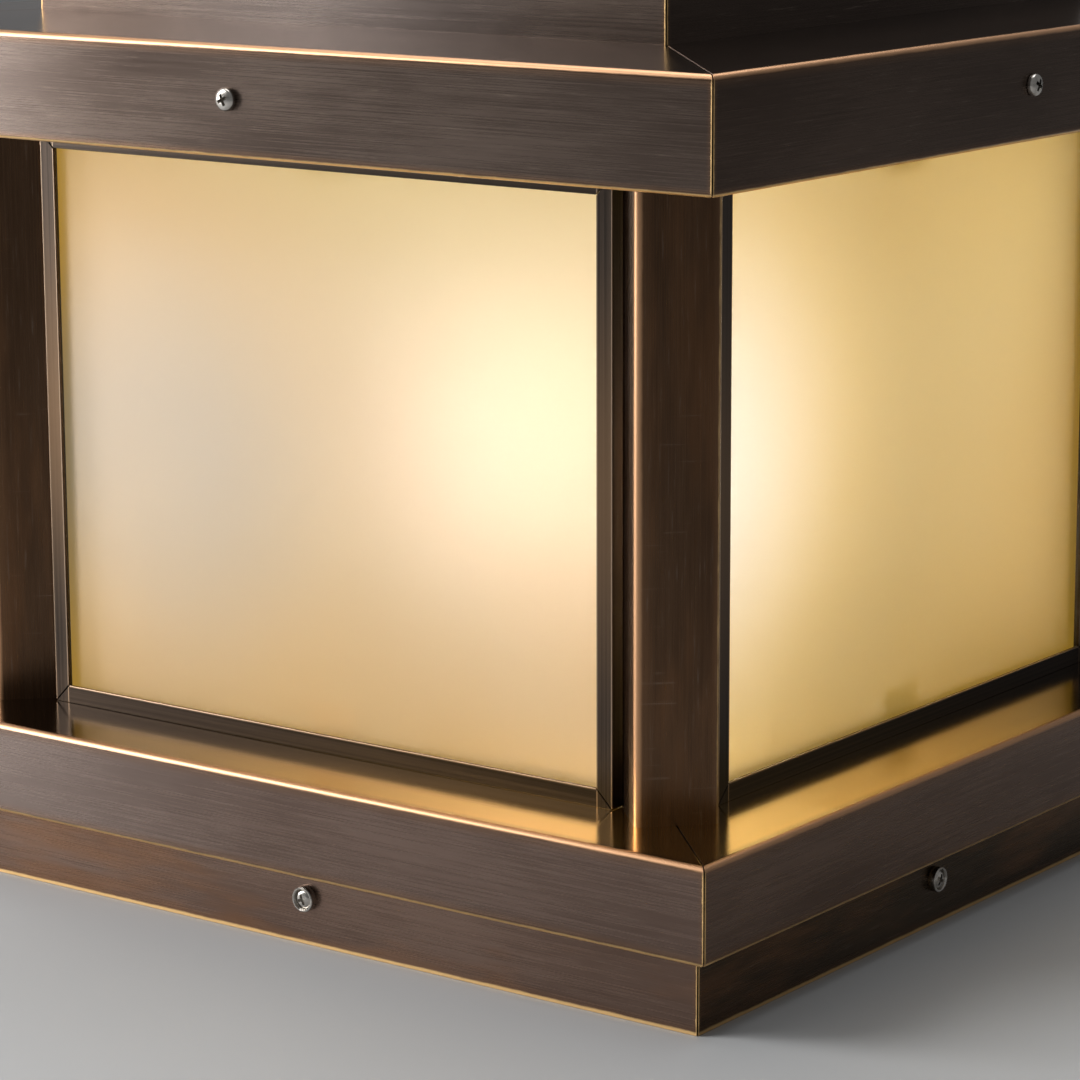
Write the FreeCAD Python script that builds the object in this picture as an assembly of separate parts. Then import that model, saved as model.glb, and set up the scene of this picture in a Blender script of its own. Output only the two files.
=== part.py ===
import FreeCAD, Part
import math
import os
from FreeCAD import Vector

# Square pier lantern in folded bronze sheet: a roof that lifts off, corner posts set
# across the corners, four framed panes, a ledged lower band and a skirt that is
# screwed round a mounting plate. Millimetres; the origin is the middle of the foot.

# ---------------------------------------------------------------- driving dimensions

# Clearances
mitre_gap = 0.3            # between two mitred lengths
slip = 0.3                 # between pieces that are only pushed together
hole_clearance = 0.2       # radial, round a screw
thread_clearance = 0.05    # radial, screw in nut
overrun = 1.0              # of a cut, past the piece
level_tolerance = 1e-6     # for telling which edges lie in a plane

# Skirt
skirt_side = 281.0
skirt_sheet = 1.5
skirt_reveal = 20.0        # height that shows under the lower band

# Lower band, with the ledge that everything stands on
lower_band_side = 292.0
lower_band_height = 26.0
ledge_inner_half = 90.0

# Upper band, with the shoulder that slopes up to the riser
upper_band_side = 300.0
upper_band_height = 29.0
opening_height = 165.0     # clear height between the two bands
shoulder_rise = 1.8
hem_height = 6.0
hem_roundness = 0.95       # radius at the hem's foot, as a share of the sheet

# Sheet of both bands and of the riser
band_sheet = 1.2
band_bend = 1.6            # outside radius of a fold

# Riser and roof cover
riser_side = 213.0
riser_height = 44.0
riser_flange = 12.0
riser_tuck = 5.0           # length of the riser below the shoulder
cover_overhang = 6.0
cover_drip = 9.0
cover_rise = 30.0
cover_flat = 16.5          # flat rim of the cover

# Corner posts
post_width = 22.0
post_depth = 18.0
post_sheet = 1.5
post_bend = 1.8
post_setback = 37.4        # along the diagonal, from the lower band's corner
post_screw_setback = 28.0  # from the post's front face to its screws
post_tab_width = 16.0
post_tab_end = 6.0         # past the screw's centre

# Panes and their channel frames
pane_setback = 28.5        # from the lower band's face to the frame's face
frame_face = 5.0
frame_wall = 1.0
frame_side_gap = 4.1       # to the post, at the frame's face
frame_head_gap = 1.3       # from the frame's top up to the upper band's lower edge
pane_thickness = 3.0
pane_seal = 1.2
pane_play = 0.2
seal_width = 3.0
bracket_sheet = 1.2
bracket_width = 16.0
bracket_leg = 12.0
bracket_foot = 14.0
bracket_screw_inset = 7.0  # from the frame's back to the screw

# Head ring
head_step = 1.0            # above the upper band's lower edge
head_sheet = 1.5
head_upstand = 24.6
gasket_height = 2.0

# Floor plate
floor_sheet = 1.5
floor_flange = 16.0
floor_wire_hole = 14.0     # radius

# Mounting plate
mount_sheet = 2.0
mount_flange = 26.0
mount_bend = 3.0
mount_hole_spacing = 160.0
mount_hole_radius = 3.5
cable_hole_radius = 9.0
grommet_bore_radius = 6.0
grommet_groove = 1.5
grommet_lip = 2.5

# M3 screws and nuts: the visible ones and the small inner ones
shank_sides = 8
head_sides = 16
small_shank = 3.0
small_head = 6.0
small_head_height = 2.2
head_rim = 0.45            # share of the head's height that is upright
head_shoulder = 0.62       # share of its radius, where the crown flattens
head_shoulder_height = 0.85
small_hex_flats = 5.5
washer_diameter = 7.0
washer_height = 0.6
washered_head = 5.6
small_nut_height = 2.4
roof_screw_length = 8.0
skirt_screw_length = 9.0
bracket_screw_length = 4.0
upper_screw_height = 15.0  # above the upper band's lower edge
skirt_screw_height = 13.0
skirt_screw_offsets = (14.0, -27.0)   # from the middle: front and back, right and left

# M4 screws of the posts, the lampholder and the earth
large_shank = 4.0
large_flats = 7.0
large_head_height = 2.8
thread_end = 1.0           # screw showing past its thread

# Lampholder
holder_flange_radius = 31.0
holder_flange_height = 7.0
holder_neck_radius = 20.0
holder_height = 33.0
holder_floor = 6.0
holder_screw_radius = 25.0
holder_wire_offset = 6.0
holder_wire_hole = 1.6     # radius
shell_wall = 0.6
shell_height = 24.0
contact_width = 6.0
contact_sheet = 0.6
contact_rise = 3.0
contact_slope = 6.0
contact_pad = 5.0

# Lamp
lamp_length = 78.0
lamp_radius = 22.5
cap_radius = 13.2
cap_height = 24.0
cap_fit = 0.1              # radial, cap in screw shell
cap_shoulder = 3.2         # height of the cone at the cap's foot
tip_radius = 4.5
tip_height = 0.8
insulator_radius = 8.0
insulator_height = 1.6
housing_height = 20.0
housing_neck = 13.6
dome_steps = 6
lamp_sides = 32

# Terminal block, earth screw and inner leads
block_length = 30.0
block_width = 16.0
block_height = 13.0
block_distance = 62.0      # from the axis to the block's near face
block_pitch = 8.0
block_hole = 1.6           # radius
lead_radius = 1.1
lead_sides = 6
lead_entry = 4.0           # length of lead inside the block
lead_drop = 22.0
lead_bend = 0.45           # share of the shorter run that a bend takes
earth_screw_place = 40.0
earth_screw_length = 6.0

# ---------------------------------------------------------------- worked-out places

root_two = math.sqrt(2.0)
sides = ("front", "right", "back", "left")
corners = ("front_right", "back_right", "back_left", "front_left")

skirt_half = skirt_side / 2
skirt_inside = skirt_half - skirt_sheet
lower_half = lower_band_side / 2
upper_half = upper_band_side / 2
riser_half = riser_side / 2

ledge_top = skirt_reveal + lower_band_height
ledge_under = ledge_top - band_sheet
floor_under = ledge_under - floor_sheet
band_foot = ledge_top + opening_height
band_top = band_foot + upper_band_height
shoulder_top = band_top + shoulder_rise
riser_top = shoulder_top + riser_height
head_under = band_foot + head_step
head_top = head_under + head_sheet
upstand_top = head_under + head_upstand
upstand_half = upper_half - 2 * band_sheet - slip
upper_screw_z = band_foot + upper_screw_height

post_face = lower_half * root_two - post_setback
post_screw = post_face - post_screw_setback

frame_plane = lower_half - pane_setback
frame_depth = 2 * frame_wall + pane_seal + pane_thickness + pane_play
frame_back = frame_plane - frame_depth
frame_half = frame_plane - post_width / root_two - frame_side_gap
frame_top = band_foot - frame_head_gap

small_radius = small_shank / 2
small_hole = small_radius + hole_clearance
large_radius = large_shank / 2
large_hole = large_radius + hole_clearance
shell_inside = cap_radius + cap_fit
shell_outside = shell_inside + shell_wall
holder_bore = shell_outside + slip / 2
holder_top = ledge_under + holder_height
contact_top = ledge_under + holder_floor + contact_sheet + contact_rise
mount_half = skirt_inside - slip

# ---------------------------------------------------------------- general shapes


def save(name, *solids):
    """Write the solids of one node."""
    shape = solids[0] if len(solids) == 1 else Part.makeCompound(list(solids))
    shape.exportStep("parts/" + name + ".step")


def turned(shape, quarter_turns, start_angle=0.0):
    """A copy of the shape, turned about the lantern's axis."""
    copy = shape.copy()
    copy.rotate(Vector(), Vector(0, 0, 1), start_angle + 90.0 * quarter_turns)
    return copy


def box(x_range, y_range, z_range):
    """A block between three pairs of limits."""
    size = [limits[1] - limits[0] for limits in (x_range, y_range, z_range)]
    return Part.makeBox(size[0], size[1], size[2], Vector(x_range[0], y_range[0], z_range[0]))


def square_block(half, low, high):
    """A square block round the lantern's axis."""
    return box((-half, half), (-half, half), (low, high))


def cylinder(radius, start, end):
    """A round bar from one point to another."""
    axis = end - start
    return Part.makeCylinder(radius, axis.Length, start, axis)


def rounded_wire(outline):
    """Closed wire through (point, radius) corners, with tangent arcs at the corners."""
    edges = []
    ends = []
    count = len(outline)
    for index, (point, radius) in enumerate(outline):
        before = (outline[index - 1][0] - point).normalize()
        after = (outline[(index + 1) % count][0] - point).normalize()
        if radius <= 0:
            ends.append((point, point))
            continue
        half_angle = before.getAngle(after) / 2
        reach = radius / math.tan(half_angle)
        middle = (before + after).normalize() * (radius / math.sin(half_angle) - radius)
        start = point + before * reach
        end = point + after * reach
        edges.append(Part.Arc(start, point + middle, end).toShape())
        ends.append((start, end))
    for index in range(count):
        edges.append(Part.makeLine(ends[index - 1][1], ends[index][0]))
    return Part.Wire(Part.__sortEdges__(edges))


def sheet_face(path, thickness, bend):
    """Section of a folded sheet. The path is the outside of clockwise folds, given as
    points in one plane; the sheet lies on its right-hand side. Folds are round on the
    outside and tight on the inside."""
    steps = [(end - start).normalize() for start, end in zip(path, path[1:])]
    up = Vector(0, 0, 1)
    if all(abs(point.y) < level_tolerance for point in path):
        up = Vector(0, -1, 0)
    rights = [step.cross(up) for step in steps]
    inner = [path[0] + rights[0] * thickness]
    for index in range(1, len(path) - 1):
        one, two = rights[index - 1], rights[index]
        inner.append(path[index] + (one + two) * (thickness / (1 + one.dot(two))))
    inner.append(path[-1] + rights[-1] * thickness)
    outline = [(path[0], 0)]
    outline += [(point, bend) for point in path[1:-1]]
    outline += [(path[-1], 0), (inner[-1], 0)]
    outline += [(point, 0) for point in reversed(inner[1:-1])]
    outline += [(inner[0], 0)]
    return Part.Face(rounded_wire(outline))


def mitre_wedge(reach, low, high):
    """The share of space that belongs to the front side: cut to 45 degrees at both
    ends, with half of the mitre gap taken off each end."""
    setback = mitre_gap / root_two
    outline = [
        Vector(0, -setback, low),
        Vector(reach - setback, -reach, low),
        Vector(setback - reach, -reach, low),
    ]
    face = Part.Face(Part.makePolygon(outline + outline[:1]))
    return face.extrude(Vector(0, 0, high - low))


def mitred_length(face, reach):
    """A straight length with the given section in the XZ plane, where X is the
    distance outwards, laid along the front side with mitred ends."""
    bar = face.extrude(Vector(0, 2 * reach, 0))
    bar.translate(Vector(0, -reach, 0))
    bar.rotate(Vector(), Vector(0, 0, 1), -90)
    limits = bar.BoundBox
    return bar.common(mitre_wedge(reach, limits.ZMin, limits.ZMax)).Solids[0]


def aimed(shape, place, direction):
    """The shape with its +Z turned to the direction and its origin at the place."""
    copy = shape.copy()
    turn = FreeCAD.Rotation(Vector(0, 0, 1), direction)
    copy.Placement = FreeCAD.Placement(place, turn)
    return copy


def ring_points(side_count, corner_radius, height=0.0):
    """Corners of a level outline with equal sides round the Z axis, closed."""
    angles = [2 * math.pi * index / side_count for index in range(side_count + 1)]
    return [Vector(math.cos(a) * corner_radius, math.sin(a) * corner_radius, height)
            for a in angles]


def prism(side_count, corner_radius, height):
    """A bar with equal sides that stands on the XY plane."""
    outline = Part.makePolygon(ring_points(side_count, corner_radius))
    return Part.Face(outline).extrude(Vector(0, 0, height))


def turned_piece(side_count, points):
    """Solid that narrows and widens with height, through (radius, height) points. It has
    many equal sides in place of a round one, and may end in a peak."""
    rings = [ring_points(side_count, radius, height) for radius, height in points]
    faces = [Part.Face(Part.makePolygon(rings[0]))]
    for low, high in zip(rings, rings[1:]):
        for index in range(side_count):
            outline = [low[index], low[index + 1], high[index + 1], high[index], low[index]]
            if points[-1][0] == 0 and high is rings[-1]:
                outline = [low[index], low[index + 1], high[index], low[index]]
            faces.append(Part.Face(Part.makePolygon(outline)))
    if points[-1][0] > 0:
        faces.append(Part.Face(Part.makePolygon(rings[-1])))
    solid = Part.Solid(Part.makeShell(faces))
    if solid.Volume < 0:
        solid.reverse()
    return solid


def shank_bar(diameter, length):
    """Flat-sided screw shank below the XY plane, within the thread's size."""
    bar = prism(shank_sides, diameter / 2, length)
    bar.translate(Vector(0, 0, -length))
    return bar


def screw_hole(radius, start, end):
    """Hole for a screw, with eight sides that stay outside the radius."""
    corner_radius = radius / math.cos(math.pi / shank_sides)
    way = end - start
    return aimed(prism(shank_sides, corner_radius, way.Length), start, way)


def nut(flats, height, shank):
    """Nut that stands on the XY plane."""
    bore = screw_hole(shank / 2 + thread_clearance, Vector(), Vector(0, 0, height))
    return prism(6, flats / math.sqrt(3.0), height).cut(bore)


def revolved(points):
    """Solid of revolution from (radius, height) points with straight sides."""
    outline = [Vector(radius, 0, height) for radius, height in points]
    face = Part.Face(Part.makePolygon(outline + outline[:1]))
    return face.revolve(Vector(), Vector(0, 0, 1), 360)


def pan_screw(shank, length, head, head_height):
    """Screw with a round head, crowned in two slopes, above the XY plane."""
    radius = head / 2
    crown = turned_piece(head_sides, [
        (radius, 0), (radius, head_height * head_rim),
        (radius * head_shoulder, head_height * head_shoulder_height), (0, head_height),
    ])
    return crown.fuse(shank_bar(shank, length)).removeSplitter().Solids[0]


def hex_screw(flats, head_height, shank, length):
    """Screw with a six-sided head above the XY plane."""
    head = prism(6, flats / math.sqrt(3.0), head_height)
    return head.fuse(shank_bar(shank, length)).removeSplitter().Solids[0]


def all_round(shape):
    """The four copies of a front-side shape."""
    return [turned(shape, index) for index in range(4)]


# ---------------------------------------------------------------- skirt and bands


def skirt_screw_spots():
    """Middle of each skirt screw: point on the skirt's face, and way outwards."""
    spots = []
    for index in range(4):
        turn = FreeCAD.Rotation(Vector(0, 0, 1), 90 * index)
        place = Vector(skirt_screw_offsets[index % 2], -skirt_half, skirt_screw_height)
        spots.append((turn.multVec(place), turn.multVec(Vector(0, -1, 0))))
    return spots


def make_skirt():
    """Four plain mitred lengths from the foot up to the underside of the ledge."""
    section = sheet_face(
        [Vector(skirt_half, 0, ledge_under), Vector(skirt_half, 0, 0)],
        skirt_sheet, 0)
    length = mitred_length(section, skirt_half)
    for index, (spot, way) in enumerate(skirt_screw_spots()):
        hole = screw_hole(small_hole, spot - way * (2 * skirt_sheet), spot + way)
        save("skirt_" + sides[index], turned(length, index).cut(hole))


def post_screw_hole(radius, low, high):
    """Upright hole for the front-right post's screw, between two heights."""
    place = post_screw / root_two
    return screw_hole(radius, Vector(place, -place, low), Vector(place, -place, high))


def bracket_hole(radius, low, high):
    """Upright hole for the front-side bracket's screw, between two heights."""
    distance = frame_back - bracket_screw_inset
    return screw_hole(radius, Vector(0, -distance, low), Vector(0, -distance, high))


def make_lower_band():
    """Four mitred lengths: ledge, face and a lip that turns in against the skirt."""
    path = [
        Vector(ledge_inner_half, 0, ledge_top),
        Vector(lower_half, 0, ledge_top),
        Vector(lower_half, 0, skirt_reveal),
        Vector(skirt_half, 0, skirt_reveal),
    ]
    length = mitred_length(sheet_face(path, band_sheet, band_bend), lower_half)
    for quarter in (0, -1):
        length = length.cut(turned(post_screw_hole(large_hole, 0, band_foot), quarter))
    length = length.cut(bracket_hole(small_hole, 0, band_foot))
    for index, side in enumerate(all_round(length)):
        save("lower_band_" + sides[index], side)


def make_upper_band():
    """Four mitred lengths: sloping shoulder, face and a hem along the lower edge."""
    slope = (shoulder_top - band_top) / (upper_half - riser_half)
    path = [
        Vector(riser_half - band_sheet, 0, shoulder_top + slope * band_sheet),
        Vector(upper_half, 0, band_top),
        Vector(upper_half, 0, band_foot),
    ]
    fold = sheet_face(path, band_sheet, band_bend)
    hem_radius = band_sheet * hem_roundness
    hem = Part.Face(rounded_wire([
        (Vector(upper_half, 0, band_foot + hem_height), 0),
        (Vector(upper_half, 0, band_foot), hem_radius),
        (Vector(upper_half - 2 * band_sheet, 0, band_foot), hem_radius),
        (Vector(upper_half - 2 * band_sheet, 0, band_foot + hem_height), 0),
    ]))
    plain = mitred_length(fold, upper_half)
    trim = box((-upper_half, upper_half), (-upper_half - overrun, -riser_half),
               (band_foot - overrun, band_foot + hem_height / 2))
    length = plain.cut(trim).fuse(mitred_length(hem, upper_half)).removeSplitter()
    length = length.cut(square_block(riser_half, band_foot, riser_top))
    hole = screw_hole(small_hole, Vector(0, -upper_half - overrun, upper_screw_z),
                      Vector(0, -upper_half + 3 * band_sheet, upper_screw_z))
    length = length.cut(hole)
    for index, side in enumerate(all_round(length)):
        save("upper_band_" + sides[index], side)


def cover_hole(radius):
    """Upright hole for the front-side screw of the roof cover."""
    place = riser_flange / 2 - riser_half
    reach = 2 * band_sheet
    return screw_hole(radius, Vector(0, place, riser_top - reach),
                      Vector(0, place, riser_top + reach))


def make_riser():
    """Four mitred walls above the shoulder, each with a flange under the cover."""
    path = [
        Vector(riser_half - riser_flange, 0, riser_top),
        Vector(riser_half, 0, riser_top),
        Vector(riser_half, 0, shoulder_top - riser_tuck),
    ]
    length = mitred_length(sheet_face(path, band_sheet, band_bend), riser_half)
    length = length.cut(cover_hole(small_radius + thread_clearance))
    for index, side in enumerate(all_round(length)):
        save("riser_" + sides[index], side)


def pyramid(half, low, high):
    """Four-sided pyramid on a square foot."""
    foot = [Vector(x * half, y * half, low) for x, y in ((1, -1), (1, 1), (-1, 1), (-1, -1))]
    peak = Vector(0, 0, high)
    faces = [Part.Face(Part.makePolygon(foot + foot[:1]))]
    for index in range(4):
        corner, following = foot[index - 1], foot[index]
        faces.append(Part.Face(Part.makePolygon([corner, following, peak, corner])))
    return Part.Solid(Part.makeShell(faces))


def make_cover():
    """Roof cover: drip edge, flat rim on the riser's flange, low hipped middle."""
    half = riser_half + cover_overhang
    rim_top = riser_top + band_sheet
    slope_half = half - cover_flat
    outside = square_block(half, rim_top - cover_drip, rim_top)
    outside = outside.fuse(pyramid(slope_half, rim_top, rim_top + cover_rise))
    inside_half = half - band_sheet
    inside = square_block(inside_half, rim_top - cover_drip - overrun, riser_top)
    slope = cover_rise / slope_half
    drop = band_sheet * math.sqrt(1 + slope * slope)
    peak = rim_top + cover_rise - drop
    inner_slope_half = (peak - riser_top) / slope
    inside = inside.fuse(pyramid(inner_slope_half, riser_top, peak))
    cover = outside.cut(inside).removeSplitter()
    cover = cover.cut(all_round(cover_hole(small_hole)))
    save("roof_cover", cover.Solids[0])
    screw = pan_screw(small_shank, bracket_screw_length, small_head, small_head_height)
    screw.translate(Vector(0, riser_flange / 2 - riser_half, rim_top))
    save("roof_cover_screws", *all_round(screw))


# ---------------------------------------------------------------- posts


def make_posts():
    """Folded channels, open towards the lamp, with a bolting tab at each end."""
    path = [
        Vector(post_width / 2, -post_face + post_depth, 0),
        Vector(post_width / 2, -post_face, 0),
        Vector(-post_width / 2, -post_face, 0),
        Vector(-post_width / 2, -post_face + post_depth, 0),
    ]
    post = sheet_face(path, post_sheet, post_bend).extrude(
        Vector(0, 0, head_under - ledge_top))
    post.translate(Vector(0, 0, ledge_top))
    tab_y = (-post_face + post_sheet / 2, -post_screw + post_tab_end)
    tab_x = (-post_tab_width / 2, post_tab_width / 2)
    for low in (ledge_top, head_under - post_sheet):
        post = post.fuse(box(tab_x, tab_y, (low, low + post_sheet)))
    post = turned(post.removeSplitter(), 0, 45)
    post = post.cut(post_screw_hole(large_hole, 0, riser_top))
    for index, corner in enumerate(corners):
        save("post_" + corner, turned(post, index))


def make_post_screws():
    """One screw at the foot and one at the head of each post."""
    foot_length = post_sheet + band_sheet + floor_sheet + thread_end
    head_length = post_sheet + head_sheet + thread_end
    place = Vector(0, -post_screw, 0)
    up = Vector(0, 0, 1)
    foot = hex_screw(large_flats, large_head_height, large_shank, foot_length)
    head = hex_screw(large_flats, large_head_height, large_shank, head_length)
    foot = aimed(foot, place + up * (ledge_top + post_sheet), up)
    head = aimed(head, place + up * (head_under - post_sheet), -up)
    screws = []
    for index in range(4):
        screws += [turned(foot, index, 45), turned(head, index, 45)]
    save("post_screws", *screws)


# ---------------------------------------------------------------- panes


def frame_shares():
    """The shares of space of a frame's four mitred lengths: foot, head and both sides."""
    gap = mitre_gap / root_two
    end = frame_half - gap
    shares = []
    for level, inner in ((ledge_top, ledge_top + frame_face), (frame_top, frame_top - frame_face)):
        shares.append([(-end, level), (end, level),
                       (end - frame_face, inner), (frame_face - end, inner)])
    low = ledge_top + gap
    high = frame_top - gap
    for way in (-1, 1):
        outer = way * frame_half
        inner = way * (frame_half - frame_face)
        shares.append([(outer, low), (outer, high),
                       (inner, high - frame_face), (inner, low + frame_face)])
    solids = []
    for share in shares:
        outline = [Vector(x, -frame_plane, z) for x, z in share]
        face = Part.Face(Part.makePolygon(outline + outline[:1]))
        solids.append(face.extrude(Vector(0, frame_depth, 0)))
    return solids


def make_panes():
    """Panes in mitred channel frames, bedded on a sealing strip behind the front flange."""
    open_half = frame_half - frame_face
    open_low = ledge_top + frame_face
    open_high = frame_top - frame_face
    hold = frame_face - frame_wall
    groove_front = frame_plane - frame_wall
    groove_back = frame_back + frame_wall
    frame = box((-frame_half, frame_half), (-frame_plane, -frame_back), (ledge_top, frame_top))
    frame = frame.cut(box((-open_half, open_half), (-frame_plane - overrun, -frame_back + overrun),
                          (open_low, open_high)))
    frame = frame.cut(box((-open_half - hold, open_half + hold), (-groove_front, -groove_back),
                          (open_low - hold, open_high + hold)))
    reach = hold - slip
    pane_front = groove_front - pane_seal
    pane = box((-open_half - reach, open_half + reach),
               (-pane_front, -pane_front + pane_thickness),
               (open_low - reach, open_high + reach))
    seal = box((-open_half - reach, open_half + reach), (-groove_front, -pane_front),
               (open_low - reach, open_high + reach))
    inner = reach - seal_width
    seal = seal.cut(box((-open_half - inner, open_half + inner), (-groove_front, -pane_front),
                        (open_low - inner, open_high + inner)))
    lengths = [frame.common(share).Solids[0] for share in frame_shares()]
    for index, side in enumerate(sides):
        save("pane_frame_" + side, *[turned(length, index) for length in lengths])
        save("pane_" + side, turned(pane, index))
    save("pane_seals", *all_round(seal))


def make_brackets():
    """Angle brackets, soldered to the frames' backs and screwed to ledge and head."""
    brackets = []
    screws = []
    screw = hex_screw(small_hex_flats, small_head_height, small_shank, bracket_screw_length)
    for level, way in ((ledge_top, 1), (head_under, -1)):
        outline = [
            Vector(frame_back, 0, level + way * bracket_leg),
            Vector(frame_back, 0, level),
            Vector(frame_back - bracket_foot, 0, level),
        ]
        if way < 0:
            outline.reverse()
        bracket = sheet_face(outline, bracket_sheet, 0).extrude(Vector(0, bracket_width, 0))
        bracket.rotate(Vector(), Vector(0, 0, 1), -90)
        bracket.translate(Vector(-bracket_width / 2, 0, 0))
        bracket = bracket.cut(bracket_hole(small_hole, level - bracket_leg, level + bracket_leg))
        seat = Vector(0, bracket_screw_inset - frame_back, level + way * bracket_sheet)
        brackets += all_round(bracket)
        screws += all_round(aimed(screw, seat, Vector(0, 0, way)))
    save("pane_brackets", *brackets)
    save("pane_bracket_screws", *screws)


# ---------------------------------------------------------------- head ring and roof fixing


def make_head_ring():
    """Flat ring on the posts, turned up inside the upper band. Each upturned edge has
    a slot, open at the top, so that the roof lifts off once its screws are loose."""
    tray = square_block(upstand_half, head_under, upstand_top)
    hollow = square_block(upstand_half - head_sheet, head_top, upstand_top + overrun)
    mouth = square_block(ledge_inner_half, head_under, head_top)
    ring = tray.cut(hollow).cut(mouth)
    gasket = square_block(upstand_half, upstand_top, upstand_top + gasket_height)
    gasket = gasket.cut(square_block(upstand_half - head_sheet, upstand_top,
                                     upstand_top + gasket_height))
    slot_depth = (-upstand_half - overrun, -upstand_half + head_sheet + overrun)
    round_end = cylinder(small_hole, Vector(0, slot_depth[0], upper_screw_z),
                         Vector(0, slot_depth[1], upper_screw_z))
    slot = box((-small_hole, small_hole), slot_depth,
               (upper_screw_z, upstand_top + gasket_height + overrun)).fuse(round_end)
    gasket = gasket.cut(all_round(slot))
    ring = ring.cut(all_round(slot))
    ring = ring.cut(all_round(bracket_hole(small_radius + thread_clearance, ledge_top, band_top)))
    post_tap = post_screw_hole(large_radius + thread_clearance, ledge_top, band_top)
    ring = ring.cut(all_round(post_tap))
    save("head_ring", ring.removeSplitter().Solids[0])
    save("roof_gasket", *gasket.Solids)


def make_roof_screws():
    """Screws through the upper band with captive nuts behind the slotted edge."""
    screw = pan_screw(small_shank, roof_screw_length, small_head, small_head_height)
    way = Vector(0, -1, 0)
    save("roof_screws", *all_round(aimed(screw, Vector(0, -upper_half, upper_screw_z), way)))
    seat = upstand_half - head_sheet - slip
    place = Vector(0, -seat + small_nut_height, upper_screw_z)
    fixed = aimed(nut(small_hex_flats, small_nut_height, small_shank), place, way)
    save("roof_nuts", *all_round(fixed))


# ---------------------------------------------------------------- floor and mounting plates


def folded_tray(half, sheet, low, high, folded_up, bend):
    """Square plate with four edges folded up or down and open corners."""
    tray = square_block(half, low, high)
    level = low if folded_up else high
    fold = [edge for edge in tray.Edges
            if abs(edge.BoundBox.ZMin - level) < level_tolerance
            and abs(edge.BoundBox.ZMax - level) < level_tolerance]
    tray = tray.makeFillet(bend, fold)
    inside = (low + sheet, high + overrun) if folded_up else (low - overrun, high - sheet)
    tray = tray.cut(square_block(half - sheet, *inside))
    notch = bend + 2 * sheet
    for x in (-1, 1):
        for y in (-1, 1):
            x_range = sorted((x * (half - notch), x * (half + overrun)))
            y_range = sorted((y * (half - notch), y * (half + overrun)))
            tray = tray.cut(box(x_range, y_range, (low, high)))
    return tray.Solids[0]


def make_floor_plate():
    """Floor of the lamp chamber, with edges turned down inside the skirt."""
    half = skirt_inside - slip
    plate = folded_tray(half, floor_sheet, ledge_under - floor_flange, ledge_under, False,
                        2 * floor_sheet)
    small_tap = small_radius + thread_clearance
    large_tap = large_radius + thread_clearance
    cuts = [Part.makeCylinder(floor_wire_hole, ledge_top)]
    spots = [Vector(way * holder_screw_radius, 0, 0) for way in (-1, 1)]
    spots.append(Vector(block_distance, earth_screw_place, 0))
    cuts += [screw_hole(large_tap, spot, spot + Vector(0, 0, ledge_top)) for spot in spots]
    cuts += all_round(post_screw_hole(large_tap, 0, ledge_top))
    cuts += all_round(bracket_hole(small_tap, 0, ledge_top))
    save("floor_plate", plate.cut(cuts).Solids[0])


def make_mounting_plate():
    """Plate that is fixed to the pier. The skirt drops over its upturned edges."""
    plate = folded_tray(mount_half, mount_sheet, 0, mount_flange, True, mount_bend)
    cuts = [Part.makeCylinder(cable_hole_radius, mount_flange)]
    spacing = mount_hole_spacing / 2
    for x in (-spacing, spacing):
        for y in (-spacing, spacing):
            cuts.append(Part.makeCylinder(mount_hole_radius, mount_flange, Vector(x, y, 0)))
    for spot, way in skirt_screw_spots():
        cuts.append(screw_hole(small_hole, spot - way * mount_flange, spot))
    save("mounting_plate", plate.cut(cuts).Solids[0])


def make_skirt_screws():
    """Screw, washer and nut in each side of the skirt."""
    screw = pan_screw(small_shank, skirt_screw_length, washered_head, small_head_height)
    washer = prism(head_sides, washer_diameter / 2, washer_height).cut(
        screw_hole(small_radius + thread_clearance, Vector(), Vector(0, 0, washer_height)))
    plain_nut = nut(small_hex_flats, small_nut_height, small_shank)
    nut_depth = skirt_half - mount_half + mount_sheet + small_nut_height
    screws = []
    washers = []
    nuts = []
    for spot, way in skirt_screw_spots():
        screws.append(aimed(screw, spot + way * washer_height, way))
        washers.append(aimed(washer, spot, way))
        nuts.append(aimed(plain_nut, spot - way * nut_depth, way))
    save("skirt_screws", *screws)
    save("skirt_washers", *washers)
    save("skirt_nuts", *nuts)


def make_grommet():
    """Soft ring in the mounting plate's cable hole."""
    lip = cable_hole_radius + grommet_lip
    foot = grommet_groove / 2
    body = prism(lamp_sides, lip, grommet_groove)
    body.translate(Vector(0, 0, mount_sheet))
    sleeve = prism(lamp_sides, cable_hole_radius, mount_sheet - foot)
    sleeve.translate(Vector(0, 0, foot))
    body = body.fuse(sleeve)
    body = body.cut(Part.makeCylinder(grommet_bore_radius, 2 * mount_flange))
    save("cable_grommet", body.removeSplitter())


# ---------------------------------------------------------------- lampholder and lamp


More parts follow.
